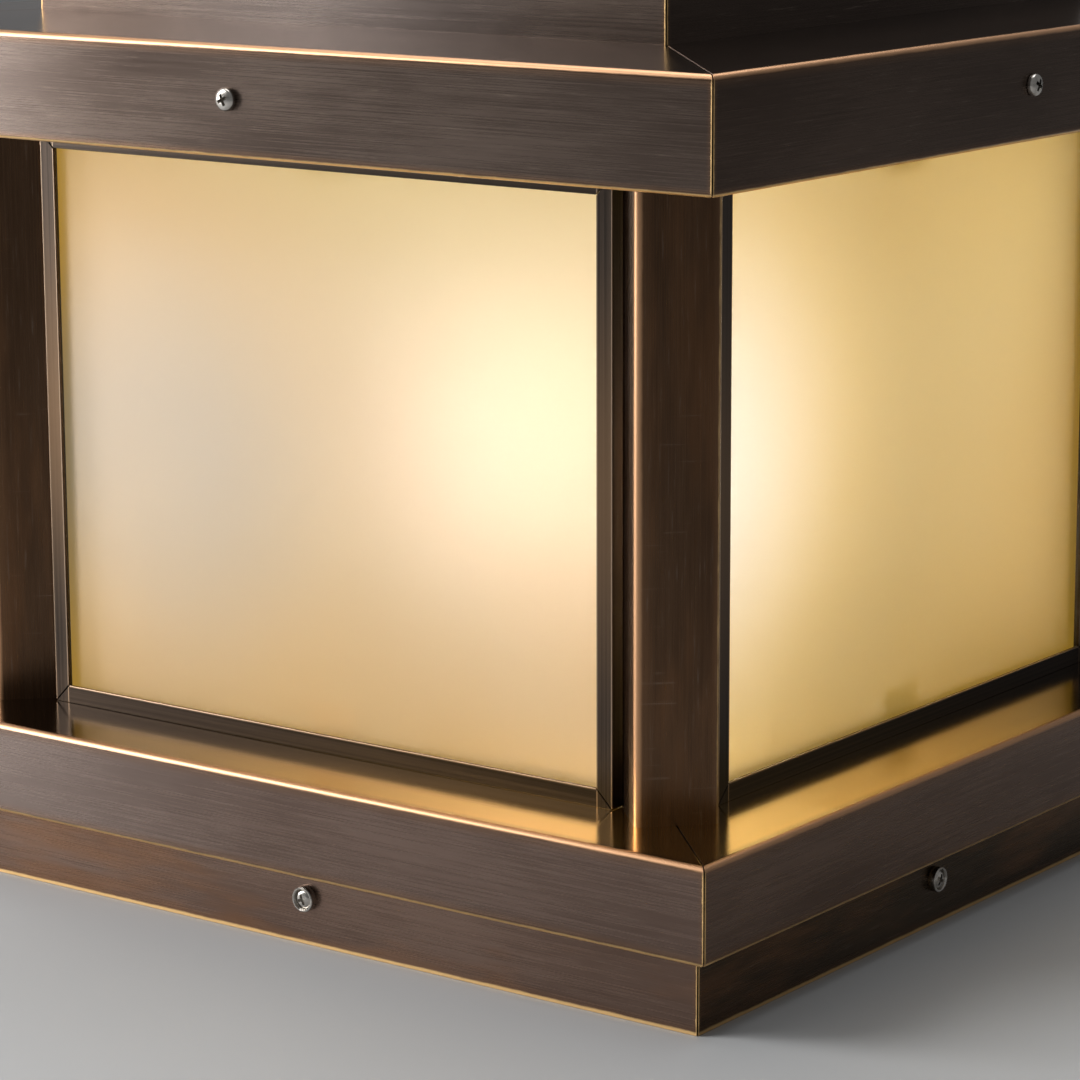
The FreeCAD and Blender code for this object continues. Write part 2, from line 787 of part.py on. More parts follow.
def make_lampholder():
    """Ceramic body, screw shell, sprung centre contact and two fixing screws."""
    base = ledge_under
    floor = base + holder_floor
    flange_top = base + holder_flange_height
    up = Vector(0, 0, 1)
    body = revolved([
        (0, base), (holder_flange_radius, base), (holder_flange_radius, flange_top),
        (holder_neck_radius, flange_top), (holder_neck_radius, holder_top),
        (holder_bore, holder_top), (holder_bore, floor), (0, floor),
    ])
    screws = []
    screw = hex_screw(large_flats, large_head_height, large_shank,
                      holder_flange_height + floor_sheet + thread_end)
    for way in (-1, 1):
        spot = Vector(way * holder_screw_radius, 0, base)
        body = body.cut(screw_hole(large_hole, spot, spot + up * holder_height))
        screws.append(aimed(screw, spot + up * holder_flange_height, up))
        spot = Vector(way * holder_wire_offset, -way * holder_wire_offset, base)
        body = body.cut(screw_hole(holder_wire_hole, spot, spot + up * holder_height))
    save("lampholder_body", body)
    save("lampholder_screws", *screws)
    sharper = math.cos(math.pi / lamp_sides)
    shell = prism(lamp_sides, shell_outside, shell_height)
    shell = shell.cut(prism(lamp_sides, shell_inside / sharper, shell_height))
    shell.translate(Vector(0, 0, floor))
    save("lampholder_shell", shell)
    rise_start = contact_pad / 2 + contact_slope
    path = [
        Vector(-rise_start - contact_pad / 2, 0, floor + contact_sheet),
        Vector(-rise_start, 0, floor + contact_sheet),
        Vector(-contact_pad / 2, 0, contact_top),
        Vector(contact_pad / 2, 0, contact_top),
    ]
    contact = sheet_face(path, contact_sheet, 0).extrude(Vector(0, contact_width, 0))
    contact.translate(Vector(0, -contact_width / 2, 0))
    save("lampholder_contact", contact)


def make_lamp():
    """Screw-in lamp that stands on the centre contact."""
    tip_top = contact_top + tip_height
    cap_foot = tip_top + insulator_height
    cap_top = cap_foot + cap_height
    housing_top = cap_top + housing_height
    lamp_top = contact_top + lamp_length
    globe_centre = lamp_top - lamp_radius
    save("lamp_tip", prism(lamp_sides, tip_radius, tip_height).translated(
        Vector(0, 0, contact_top)))
    save("lamp_insulator", turned_piece(lamp_sides, [
        (insulator_radius - insulator_height, tip_top), (insulator_radius, cap_foot),
    ]))
    save("lamp_cap", turned_piece(lamp_sides, [
        (insulator_radius, cap_foot), (cap_radius, cap_foot + cap_shoulder),
        (cap_radius, cap_top),
    ]))
    level = housing_top - globe_centre
    rim = math.sqrt(lamp_radius ** 2 - level ** 2)
    save("lamp_housing", turned_piece(lamp_sides, [(housing_neck, cap_top), (rim, housing_top)]))
    start = math.asin(level / lamp_radius)
    angles = [start + (math.pi / 2 - start) * index / dome_steps for index in range(dome_steps)]
    dome = [(lamp_radius * math.cos(angle), globe_centre + lamp_radius * math.sin(angle))
            for angle in angles]
    save("lamp_diffuser", turned_piece(lamp_sides, dome + [(0, lamp_top)]))


# ---------------------------------------------------------------- wiring


def tangent_path(points):
    """Open wire of straight runs joined by arcs as large as the runs allow."""
    edges = []
    start = points[0]
    for before, corner, after in zip(points, points[1:], points[2:]):
        back = before - corner
        ahead = after - corner
        reach = lead_bend * min(back.Length, ahead.Length)
        half_angle = back.getAngle(ahead) / 2
        back.normalize()
        ahead.normalize()
        arc_start = corner + back * reach
        arc_end = corner + ahead * reach
        bisector = (back + ahead).normalize()
        radius = reach * math.tan(half_angle)
        middle = corner + bisector * (radius / math.sin(half_angle) - radius)
        edges.append(Part.makeLine(start, arc_start))
        edges.append(Part.Arc(arc_start, middle, arc_end).toShape())
        start = arc_end
    edges.append(Part.makeLine(start, points[-1]))
    return Part.Wire(edges)


def make_lead(name, points):
    """Insulated lead along its route, with six sides."""
    path = tangent_path(points)
    way = points[1] - points[0]
    ring = aimed(Part.makePolygon(ring_points(lead_sides, lead_radius)), points[0], way)
    save(name, path.makePipeShell([ring], True, False))


def make_wiring():
    """Terminal block under the floor plate, earth screw, and the inner leads."""
    height = floor_under - block_height / 2
    half = block_length / 2
    block = box((block_distance, block_distance + block_width), (-half, half),
                (floor_under - block_height, floor_under))
    pole_rows = (-block_pitch, 0.0, block_pitch)
    for row in pole_rows:
        start = Vector(block_distance, row, height)
        end = Vector(block_distance + block_width, row, height)
        block = block.cut(screw_hole(block_hole, start, end))
    save("terminal_block", block)
    low = floor_under - lead_drop
    inside = block_distance + lead_entry
    approach = block_distance - 2 * lead_entry
    rows = (("lead_live", 1, pole_rows[0]), ("lead_neutral", -1, pole_rows[1]))
    for name, way, row in rows:
        offset = way * holder_wire_offset
        make_lead(name, [
            Vector(offset, -offset, ledge_under + holder_floor / 2),
            Vector(offset, -offset, low + lead_entry),
            Vector(approach / 2, row - way * block_pitch / 2, low),
            Vector(approach - lead_entry, row, height),
            Vector(inside, row, height),
        ])
    screw = hex_screw(large_flats, large_head_height, large_shank, earth_screw_length)
    tag_under = floor_under - 2 * lead_radius
    seat = Vector(block_distance, earth_screw_place, tag_under)
    save("earth_screw", aimed(screw, seat, Vector(0, 0, -1)))
    tag_end = block_distance - large_flats / root_two
    make_lead("lead_earth", [
        Vector(tag_end, earth_screw_place, floor_under - lead_radius),
        Vector(approach - 2 * lead_entry, earth_screw_place, height + lead_radius),
        Vector(approach - 3 * lead_entry, earth_screw_place / 3, height),
        Vector(approach - lead_entry, pole_rows[2], height),
        Vector(inside, pole_rows[2], height),
    ])


os.makedirs("parts", exist_ok=True)
make_skirt()
make_lower_band()
make_upper_band()
make_riser()
make_cover()
make_posts()
make_post_screws()
make_panes()
make_brackets()
make_head_ring()
make_roof_screws()
make_floor_plate()
make_mounting_plate()
make_skirt_screws()
make_grommet()
make_lampholder()
make_lamp()
make_wiring()
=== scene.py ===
import math

import bpy
from mathutils import Matrix, Vector


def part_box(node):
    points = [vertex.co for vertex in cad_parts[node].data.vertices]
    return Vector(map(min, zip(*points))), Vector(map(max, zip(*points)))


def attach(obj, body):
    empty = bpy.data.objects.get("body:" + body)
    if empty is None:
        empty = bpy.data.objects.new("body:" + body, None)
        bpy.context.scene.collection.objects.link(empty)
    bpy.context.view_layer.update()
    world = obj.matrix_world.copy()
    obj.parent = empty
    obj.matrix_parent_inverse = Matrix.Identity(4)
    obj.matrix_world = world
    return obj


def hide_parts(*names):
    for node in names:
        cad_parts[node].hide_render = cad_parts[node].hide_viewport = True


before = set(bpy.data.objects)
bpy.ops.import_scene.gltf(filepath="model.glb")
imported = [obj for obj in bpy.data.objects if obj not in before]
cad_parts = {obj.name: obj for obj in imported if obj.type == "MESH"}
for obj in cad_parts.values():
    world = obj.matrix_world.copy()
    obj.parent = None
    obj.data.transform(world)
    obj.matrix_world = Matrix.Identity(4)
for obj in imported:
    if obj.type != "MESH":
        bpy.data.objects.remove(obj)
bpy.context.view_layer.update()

# Square pier lantern in brushed antique bronze, lit. The folded sheet comes from the
# frame; here it gets its finishes, and the small turned pieces are made in full detail.
# Metres throughout, except where millimetres are named; +Z is up, and -Y comes out of
# the front pane.

MM = 0.001
ROOT_TWO = math.sqrt(2)
SIDES = ("front", "right", "back", "left")
CORNERS = ("front_right", "back_right", "back_left", "front_left")

# ---------------------------------------------------------------- places, from the frame

UPPER_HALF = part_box("upper_band_right")[1].x
UPPER_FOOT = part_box("upper_band_front")[0].z
SHOULDER_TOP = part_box("upper_band_front")[1].z
SHOULDER_RISE = 1.8 * MM
UPPER_TOP = SHOULDER_TOP - SHOULDER_RISE
LOWER_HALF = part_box("lower_band_right")[1].x
LOWER_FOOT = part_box("lower_band_front")[0].z
LEDGE_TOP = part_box("lower_band_front")[1].z
SKIRT_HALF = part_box("skirt_right")[1].x
RISER_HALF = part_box("riser_right")[1].x
RISER_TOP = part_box("riser_front")[1].z
COVER_SHEET = 1.2 * MM
COVER_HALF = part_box("roof_cover")[1].x
COVER_RIM_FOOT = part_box("roof_cover")[0].z
COVER_RIM = RISER_TOP + COVER_SHEET
POST_HALF_WIDTH = 11 * MM
POST_FACE = 169.1 * MM
PANE_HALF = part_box("pane_front")[1].x
PANE_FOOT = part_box("pane_front")[0].z
PANE_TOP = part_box("pane_front")[1].z
FRAME_FACE = 5 * MM
FRAME_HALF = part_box("pane_frame_front")[1].x
FRAME_INNER = FRAME_HALF - FRAME_FACE
FRAME_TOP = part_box("pane_frame_front")[1].z
FRAME_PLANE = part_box("pane_frame_right")[1].x
FRAME_MIDDLE = (LEDGE_TOP + FRAME_TOP) / 2

# ---------------------------------------------------------------- colours


def colour(red, green, blue):
    return (red, green, blue, 1.0)


BLACK = colour(0, 0, 0)

BRONZE_DARK = colour(0.078, 0.056, 0.045)
BRONZE_LIGHT = colour(0.118, 0.088, 0.072)
BRONZE_STROKE = colour(0.19, 0.145, 0.115)
BRONZE_WARM = colour(0.27, 0.125, 0.055)
BRONZE_SCRATCH = colour(0.30, 0.22, 0.17)
BRONZE_PAINTED_HIGHLIGHT = colour(0.42, 0.35, 0.32)
BRONZE_PAINTED_SHADE = colour(0.09, 0.056, 0.022)
BRONZE_BARE = colour(0.86, 0.60, 0.21)
WARM_BROWN = colour(0.22, 0.12, 0.065)
COPPER = colour(0.58, 0.33, 0.18)
GOLD = colour(0.88, 0.58, 0.26)

CHANNEL_DARK = colour(0.040, 0.031, 0.025)
CHANNEL_LIGHT = colour(0.066, 0.049, 0.038)
CHANNEL_PAINTED_GLOW = colour(0.20, 0.12, 0.065)
CHANNEL_EDGE = colour(0.50, 0.36, 0.25)

FRONT_GLASS = colour(0.64, 0.55, 0.47)
SIDE_GLASS = colour(1.0, 0.95, 0.78)
MILKY_GLASS = colour(0.40, 0.50, 0.66)
# Painted glow of the panes: emission colours standing in for the lamp's light in the frost, with painted
# shade, a painted brighter rise and a painted hot spot with its ring.
GLOW_MIDDLE = colour(0.192, 0.128, 0.034)
GLOW_RIM = colour(0.205, 0.114, 0.006)
GLOW_CLOUD = colour(0.21, 0.142, 0.045)
GLOW_DIM = colour(0.06, 0.07, 0.06)
GLOW_HIGH = colour(0.36, 0.31, 0.14)
GLOW_RING = colour(0.55, 0.36, 0.13)
GLOW_PALE = colour(0.34, 0.38, 0.50)

OPAL = colour(0.93, 0.90, 0.84)
OPAL_LOW = colour(0.86, 0.84, 0.80)
OPAL_HIGH = colour(1.0, 0.97, 0.92)
OPAL_SHADED = colour(0.02, 0.02, 0.02)

LEAD_GREEN = colour(0.06, 0.26, 0.05)
LEAD_YELLOW = colour(0.75, 0.62, 0.05)

ROOM_GREY = colour(0.21, 0.212, 0.215)
FLOOR_DARK = colour(0.325, 0.328, 0.33)
FLOOR_LIGHT = colour(0.345, 0.348, 0.35)
PAPER = colour(0.3, 0.3, 0.3)
PAPER_PALE = colour(0.47, 0.462, 0.445)

# ---------------------------------------------------------------- camera and light

CAMERA_PLACE = (0.66254, -0.90730, 0.32414)
CAMERA_TURN = math.radians(36.644)
CAMERA_DIP = math.radians(12.032)
CAMERA_ROLL = math.radians(-0.21642)
LENS = 130.45
SENSOR = 36
LIT_MIDDLE = (0, 0, 0.12)


def place_camera():
    """The photograph's viewpoint: a long lens, a little above, turned to the corner."""
    ahead = Vector((-math.sin(CAMERA_TURN) * math.cos(CAMERA_DIP),
                    math.cos(CAMERA_TURN) * math.cos(CAMERA_DIP),
                    -math.sin(CAMERA_DIP)))
    level_right = Vector((math.cos(CAMERA_TURN), math.sin(CAMERA_TURN), 0))
    level_up = level_right.cross(ahead)
    right = level_right * math.cos(CAMERA_ROLL) + level_up * math.sin(CAMERA_ROLL)
    up = level_up * math.cos(CAMERA_ROLL) - level_right * math.sin(CAMERA_ROLL)
    data = bpy.data.cameras.new("camera")
    data.sensor_fit = "HORIZONTAL"
    data.sensor_width = SENSOR
    data.lens = LENS
    data.clip_start = 0.05
    data.clip_end = 100
    camera = bpy.data.objects.new("camera", data)
    axes = Matrix((right, up, -ahead)).transposed().to_4x4()
    camera.matrix_world = Matrix.Translation(CAMERA_PLACE) @ axes
    bpy.context.scene.collection.objects.link(camera)
    bpy.context.scene.camera = camera
    bpy.context.scene.view_settings.view_transform = "Standard"


def soft_box(name, place, width, height, power):
    """A rectangular studio lamp at a place, aimed at the lantern."""
    data = bpy.data.lights.new(name, "AREA")
    data.shape = "RECTANGLE"
    data.size = width
    data.size_y = height
    data.energy = power
    lamp = bpy.data.objects.new(name, data)
    way = Vector(LIT_MIDDLE) - Vector(place)
    turn = way.to_track_quat("-Z", "Y").to_matrix().to_4x4()
    lamp.matrix_world = Matrix.Translation(place) @ turn
    bpy.context.scene.collection.objects.link(lamp)


def light_studio():
    """A soft lamp low at the left, one above the left shoulder, a wide one overhead,
    and a dim grey room."""
    soft_box("left_lamp", (-1.12, -0.80, 0.42), width=0.42, height=0.8, power=15)
    soft_box("key_lamp", (-1.2, -1.15, 1.35), width=0.9, height=0.9, power=30)
    soft_box("top_lamp", (-0.3, 0.4, 2.2), width=1.8, height=1.8, power=38)
    room = bpy.data.worlds.new("room")
    room.use_nodes = True
    room.node_tree.nodes["Background"].inputs["Color"].default_value = ROOM_GREY
    bpy.context.scene.world = room


# ---------------------------------------------------------------- how a finish is made


class Amount:
    """A number that varies over a surface. Sums on it add the nodes that work it out."""

    def __init__(self, finish, socket):
        self.finish = finish
        self.socket = socket

    def worked(self, operation, *values):
        inputs = dict(enumerate(values))
        node = self.finish.node("ShaderNodeMath", {"operation": operation}, inputs)
        return Amount(self.finish, node.outputs[0])

    def __add__(self, other):
        return self.worked("ADD", self, other)

    def __sub__(self, other):
        return self.worked("SUBTRACT", self, other)

    def __rsub__(self, other):
        return self.worked("SUBTRACT", other, self)

    def __mul__(self, other):
        return self.worked("MULTIPLY", self, other)

    def __abs__(self):
        return self.worked("ABSOLUTE", self)

    def __pow__(self, other):
        return self.worked("POWER", self, other)

    def least(self, other):
        return self.worked("MINIMUM", self, other)

    def most(self, other):
        return self.worked("MAXIMUM", self, other)

    __radd__ = __add__
    __rmul__ = __mul__


class Finish:
    """A material in the making. x, y and z are places on the object, in metres."""

    def __init__(self, name):
        self.material = bpy.data.materials.new(name)
        self.material.use_nodes = True
        self.tree = self.material.node_tree
        self.tree.nodes.clear()
        self.place = self.node("ShaderNodeTexCoord").outputs["Object"]
        split = self.node("ShaderNodeSeparateXYZ", {}, {0: self.place})
        self.x, self.y, self.z = (Amount(self, output) for output in split.outputs)

    def node(self, kind, settings=None, inputs=None):
        """Any node: its settings first, then a value or a link for each named socket."""
        node = self.tree.nodes.new(kind)
        for name, value in (settings or {}).items():
            setattr(node, name, value)
        for name, value in (inputs or {}).items():
            if isinstance(value, Amount):
                value = value.socket
            if isinstance(value, bpy.types.NodeSocket):
                self.tree.links.new(value, node.inputs[name])
            else:
                node.inputs[name].default_value = value
        return node

    def noise(self, scale, detail=3.0, roughness=0.5, shift=0.0):
        """Cloudy noise around 0.5. The scale is per metre, along x, y and z."""
        stretched = self.node("ShaderNodeVectorMath", {"operation": "MULTIPLY"},
                              {0: self.place, 1: scale})
        moved = self.node("ShaderNodeVectorMath", {"operation": "ADD"},
                          {0: stretched.outputs[0], 1: (shift, shift, shift)})
        cloud = self.node("ShaderNodeTexNoise", {}, {
            "Vector": moved.outputs[0], "Scale": 1.0, "Detail": detail,
            "Roughness": roughness,
        })
        return Amount(self, cloud.outputs[0])

    def fade(self, amount, low, high, start=0.0, end=1.0):
        """A smooth step from start, at low, to end, at high."""
        node = self.node("ShaderNodeMapRange", {"interpolation_type": "SMOOTHSTEP"},
                         {0: amount, 1: low, 2: high, 3: start, 4: end})
        return Amount(self, node.outputs[0])

    def mix(self, share, one, two):
        """A colour between two: one at share 0, two at share 1."""
        node = self.node("ShaderNodeMix", {"data_type": "RGBA"},
                         {0: share, 6: one, 7: two})
        return node.outputs[2]

    def relief(self, height, distance, strength=1.0):
        """Normal of a surface raised by the height times the distance."""
        return self.node("ShaderNodeBump", {}, {
            "Height": height, "Distance": distance, "Strength": strength,
        }).outputs[0]

    def shade(self, **sockets):
        """The surface itself. Socket names are written with _ for a space."""
        inputs = {name.replace("_", " "): value for name, value in sockets.items()}
        return self.node("ShaderNodeBsdfPrincipled", {}, inputs).outputs[0]

    def done(self, surface):
        self.node("ShaderNodeOutputMaterial", {}, {"Surface": surface})
        return self.material


# ---------------------------------------------------------------- bronze

# Marks in the brushed sheet: how often per metre, along the grain and across it
HAIRS = (16.0, 2600.0)
STROKES = (75.0, 1300.0)
DENTS = (110.0, 700.0)
CLOUDS = (10.0, 34.0)
WARM_PATCHES = (14.0, 75.0)
EDGE_WANDER = (120.0, 420.0)

# Roughness
SATIN = 0.27
SMOOTH = 0.22
POLISHED = 0.15
RUBBED = 0.46

# Reach of the rubbing on a fold or a cut edge
SHEET_FOLD = 2.0 * MM
CUT_EDGE = 1.0 * MM
UPRIGHT_END = 0.8 * MM
OUT_OF_REACH = 9 * MM


def toned(base, tone):
    """A copy of a colour, its red, green and blue each scaled by the tone."""
    return colour(*(part * share for part, share in zip(base, tone)))


def near_line(across, level, edge_across, edge_level):
    """Distance to an edge, from two distances at right angles to it."""
    one = across - edge_across
    two = level - edge_level
    return (one * one + two * two) ** 0.5


def bronze(name, grain, rubs, tone=(1, 1, 1), warmth=0.0, lines=0.0, bare_above=None,
           smooth_above=None, sheen=None):
    """Brushed antique bronze. The grain is the brush marks' way, "x", "y" or "z". Rubs
    gives (distance, reach, colour) of the edges where the brown is worn off.
    Above bare_above the sheet is polished bright, painted darker towards one end as painted shade; above
    smooth_above it is only smoother.
    The sheen, on the lengths along x, is the (x, reach, share) of a lighter stretch painted in as a
    highlight, standing in for a reflection."""
    finish = Finish(name)
    stretch = {"x": (1, 0, 0), "y": (0, 1, 0), "z": (0, 0, 1)}[grain]

    def brushed(along, across):
        return tuple(along if way else across for way in stretch)

    hairs = finish.noise(brushed(*HAIRS), 4.0, 0.65)
    strokes = finish.noise(brushed(*STROKES), 3.0, 0.6, 7.0)
    dents = finish.noise(brushed(*DENTS), 2.0, 0.5, 29.0)
    clouds = finish.noise(brushed(*CLOUDS), 3.0, 0.6, 3.0)
    depth = finish.fade(hairs * 0.3 + strokes * 0.2 + clouds * 0.5, 0.36, 0.64)
    body = finish.mix(depth, toned(BRONZE_DARK, tone), toned(BRONZE_LIGHT, tone))
    light_marks = finish.fade(strokes, 0.60, 0.75, 0.0, 0.45)
    body = finish.mix(light_marks, body, BRONZE_STROKE)
    roughness = SATIN + (hairs - 0.5) * 0.14 + (clouds - 0.5) * 0.10
    if warmth:
        patches = finish.noise(brushed(*WARM_PATCHES), 3.0, 0.6, 19.0)
        body = finish.mix(finish.fade(patches, 0.42, 0.66) * warmth, body, BRONZE_WARM)
    if lines:
        stray = finish.noise((45.0, 45.0, 1500.0), 1.0, 0.5, 23.0)
        broken = finish.noise((90.0, 90.0, 60.0), 2.0, 0.5, 31.0)
        scratch = (finish.fade(stray, 0.68, 0.76)
                   * finish.fade(broken, 0.50, 0.60, 0.0, lines))
        body = finish.mix(scratch, body, BRONZE_SCRATCH)
    # Painted highlight: a lighter stretch along the length, standing in for a reflection.
    if sheen and grain == "x":
        centre, reach, share = sheen
        paler = finish.fade(abs(finish.x - centre), 0.0, reach, share, 0.0)
        body = finish.mix(paler, body, BRONZE_PAINTED_HIGHLIGHT)
    if smooth_above is not None:
        above = finish.fade(finish.z, smooth_above - 0.2 * MM, smooth_above + 0.1 * MM)
        roughness = roughness * (1.0 - above) + above * SMOOTH
    if bare_above is not None:
        above = finish.fade(finish.z, bare_above - 0.12 * MM, bare_above - 0.02 * MM)
        along = finish.x if grain == "x" else 0 - finish.y
        # Painted shade: the bare top is painted darker towards one end and stays bright bare metal towards
        # the other.
        painted_shade_to_bare = finish.fade(along + (clouds - 0.5) * 0.05, -0.08, 0.12)
        body = finish.mix(above, body, finish.mix(painted_shade_to_bare, BRONZE_PAINTED_SHADE, BRONZE_BARE))
        roughness = roughness * (1.0 - above) + above * (POLISHED + (hairs - 0.5) * 0.06)
    wander = (finish.noise(brushed(*EDGE_WANDER), 3.0, 0.6, 11.0) - 0.5) * (0.5 * MM)
    for distance, reach, worn in rubs(finish):
        ragged = distance + wander
        near = finish.fade(ragged, reach * 0.7, reach * 2.6, 0.42, 0.0)
        body = finish.mix(near, body, WARM_BROWN)
        rubbed = finish.fade(ragged, reach * 0.55, reach, 0.95, 0.0)
        body = finish.mix(rubbed, body, worn)
        roughness = roughness * (1.0 - rubbed) + rubbed * RUBBED
    normal = finish.relief(hairs * 0.5 + strokes * 0.7 + dents * 0.8, 0.012 * MM)
    return finish.done(finish.shade(
        Base_Color=body, Metallic=1.0, Roughness=roughness, Normal=normal))


def outward_and_along(finish, side):
    """Distance from the axis to a side's face, and the place along that side."""
    if side in ("front", "back"):
        return abs(finish.y), abs(finish.x)
    return abs(finish.x), abs(finish.y)


def band_rubs(side, half, folds):
    """Worn edges of a mitred length: its folds, as (level, reach, colour), and its
    upright ends."""

    def rubs(finish):
        outward, along = outward_and_along(finish, side)
        inward = finish.fade(half - outward, 0.1 * MM, 0.5 * MM, 0.0, OUT_OF_REACH)
        edges = [(outward - along + inward, UPRIGHT_END, GOLD)]
        for level, reach, worn in folds:
            edges.append((near_line(outward, finish.z, half, level), reach, worn))
        return edges

    return rubs


def post_rubs(finish):
    """The two folds of a corner post: worn copper, broad on the fold beside the front and back panes, where
    its breadth is a painted highlight, and a fine gold line on the other.
    """
    outward = (abs(finish.x) + abs(finish.y)) * (1 / ROOT_TWO)
    across = (abs(finish.x) - abs(finish.y)) * (1 / ROOT_TWO)
    return [
        # Wear, broadened into a painted highlight on this fold.
        (near_line(outward, across, POST_FACE, -POST_HALF_WIDTH), 2.2 * MM, COPPER),
        (near_line(outward, across, POST_FACE, POST_HALF_WIDTH), 1.0 * MM, GOLD),
    ]


def cover_rubs(finish):
    """Rim, drip edge and hips of the roof cover."""
    outward = abs(finish.x).most(abs(finish.y))
    hip = abs(abs(finish.x) - abs(finish.y)) * (1 / ROOT_TWO) + 0.2 * MM
    return [
        (near_line(outward, finish.z, COVER_HALF, COVER_RIM), 1.2 * MM, COPPER),
        (near_line(outward, finish.z, COVER_HALF, COVER_RIM_FOOT), CUT_EDGE, GOLD),
        (hip, 0.9 * MM, COPPER),
    ]


def both_ways(name, half, folds, front_lit_tone, side_shaded_tone, **more):
    """The finish of a band's four lengths, by the way that they run, the front and back ones painted lighter
    and the right and left ones darker: painted light and shade on one bronze.
    """
    return {
        grain: bronze(name + "_" + grain, grain, band_rubs(side, half, folds), tone, **more)
        for grain, side, tone in (("x", "front", front_lit_tone), ("y", "right", side_shaded_tone))
    }


def dark_channel():
    """Dark satin bronze of the channel frames, drawn along their length, with fine light edges, and a painted
    glow of warmer colour towards the middle height of the uprights."""
    finish = Finish("dark_channel")
    outward = abs(finish.x).most(abs(finish.y))
    along = abs(finish.x).least(abs(finish.y))
    corner = near_line(outward, along, FRAME_PLANE, FRAME_HALF)
    inner = near_line(outward, along, FRAME_PLANE, FRAME_INNER)
    upright = finish.fade(along, FRAME_INNER - 0.1 * MM, FRAME_INNER + 0.1 * MM)
    foot = near_line(outward, finish.z, FRAME_PLANE, LEDGE_TOP + FRAME_FACE)
    foot = foot + upright * FRAME_FACE
    inner = inner + finish.fade(upright, 0.0, 1.0, OUT_OF_REACH, 0.0)
    edge = corner.least(inner).least(foot)
    rubbed = finish.fade(edge, 0.10 * MM, 0.55 * MM, 0.75, 0.0)
    drawn_up = finish.noise((1500.0, 1500.0, 6.0), 2.0, 0.5)
    drawn_along = finish.noise((6.0, 6.0, 1500.0), 2.0, 0.5, 9.0)
    stripes = drawn_up * upright + drawn_along * (1 - upright)
    body = finish.mix(finish.fade(stripes, 0.35, 0.65), CHANNEL_DARK, CHANNEL_LIGHT)
    # Painted glow: the uprights turn warmer towards their middle height, beside the lit pane.
    middle = finish.fade(abs(finish.z - FRAME_MIDDLE), 0.0, 70 * MM, 0.6, 0.0)
    body = finish.mix(middle * upright, body, CHANNEL_PAINTED_GLOW)
    body = finish.mix(rubbed, body, CHANNEL_EDGE)
    return finish.done(finish.shade(
        Base_Color=body, Metallic=1.0, Roughness=0.30 + (stripes - 0.5) * 0.12))


# ---------------------------------------------------------------- glass and lamp

GLASS_ROUGHNESS = 0.95
GLASS_IOR = 1.4
LAMP_STRENGTH = 18.8


def amber_pane(name, tint, milkiness, warmth, painted_glow_pattern):
    """Frosted amber glass: it blurs the lamp behind it, and its own emission is a painted glow that stands in
    for the lamp's light in the frost. The painted_glow_pattern adds the glow's painted hot spots and shade to
    it."""
    finish = Finish(name)
    along = abs(finish.x).least(abs(finish.y))
    rim = (PANE_HALF - along).least(finish.z - PANE_FOOT).least(PANE_TOP - finish.z)
    near_rim = finish.fade(rim, 2 * MM, 60 * MM, 1.0, 0.0)
    clouds = finish.noise((9.0, 9.0, 9.0), 2.0, 0.5, 5.0)
    glow = finish.mix(near_rim, GLOW_MIDDLE, GLOW_RIM)
    glow = finish.mix(finish.fade(clouds, 0.35, 0.65, 0.0, 0.35), glow, GLOW_CLOUD)
    glow = painted_glow_pattern(finish, glow)
    # Painted shade: the glow fades darker towards the pane's foot.
    foot = finish.fade(finish.z, PANE_FOOT, PANE_FOOT + 70 * MM, 0.15, 0.0)
    glow = finish.mix(foot, glow, BLACK)
    frost = finish.noise((5200.0, 5200.0, 5200.0), 1.0, 0.5)
    normal = finish.relief(frost, 0.01 * MM, 0.6)
    clear = finish.shade(
        Base_Color=tint, Roughness=GLASS_ROUGHNESS, IOR=GLASS_IOR,
        Transmission_Weight=1.0, Emission_Color=glow, Emission_Strength=warmth,
        Normal=normal)
    milky = finish.shade(
        Base_Color=MILKY_GLASS, Roughness=0.6, Emission_Color=glow,
        Emission_Strength=warmth, Normal=normal)
    share = finish.fade(finish.z, PANE_FOOT, PANE_FOOT + 90 * MM, milkiness / 4, milkiness)
    both = finish.node("ShaderNodeMixShader", {}, {0: share, 1: clear, 2: milky})
    return finish.done(both.outputs[0])


def painted_dim_and_rising_glow(finish, glow):
    """Painted shade and light: a dimmer, greyer place near one end, and brighter high up at the other."""
    dim = near_line(finish.x, finish.z, -0.062, 0.118)
    glow = finish.mix(finish.fade(dim, 15 * MM, 78 * MM, 0.7, 0.0), glow, GLOW_DIM)
    rise = finish.x * 0.6 + finish.z
    return finish.mix(finish.fade(rise, 0.14, 0.23, 0.0, 0.5), glow, GLOW_HIGH)


def painted_hot_spot(finish, glow):
    """A painted hot spot: a pale spot with a warm ring near one end, standing in for the lamp seen through
    the frost.
    """
    spot = near_line(finish.y, finish.z, -0.105, 0.135)
    glow = finish.mix(finish.fade(spot, 30 * MM, 120 * MM, 0.7, 0.0), glow, GLOW_RING)
    return finish.mix(finish.fade(spot, 0.0, 80 * MM, 0.75, 0.0), glow, GLOW_PALE)


def lamp_glow():
    """Lit opal diffuser, brighter high up and on one side."""
    finish = Finish("lamp_diffuser")
    glow = finish.mix(finish.fade(finish.z, 0.110, 0.132), OPAL_LOW, OPAL_HIGH)
    turned_away = finish.fade(finish.x, -0.022, 0.022, 0.6, 0.0)
    glow = finish.mix(turned_away, glow, OPAL_SHADED)
    return finish.done(finish.shade(
        Base_Color=OPAL, Roughness=0.35, Emission_Color=glow,
        Emission_Strength=LAMP_STRENGTH))


# ---------------------------------------------------------------- plain finishes

PITS = 0.02 * MM


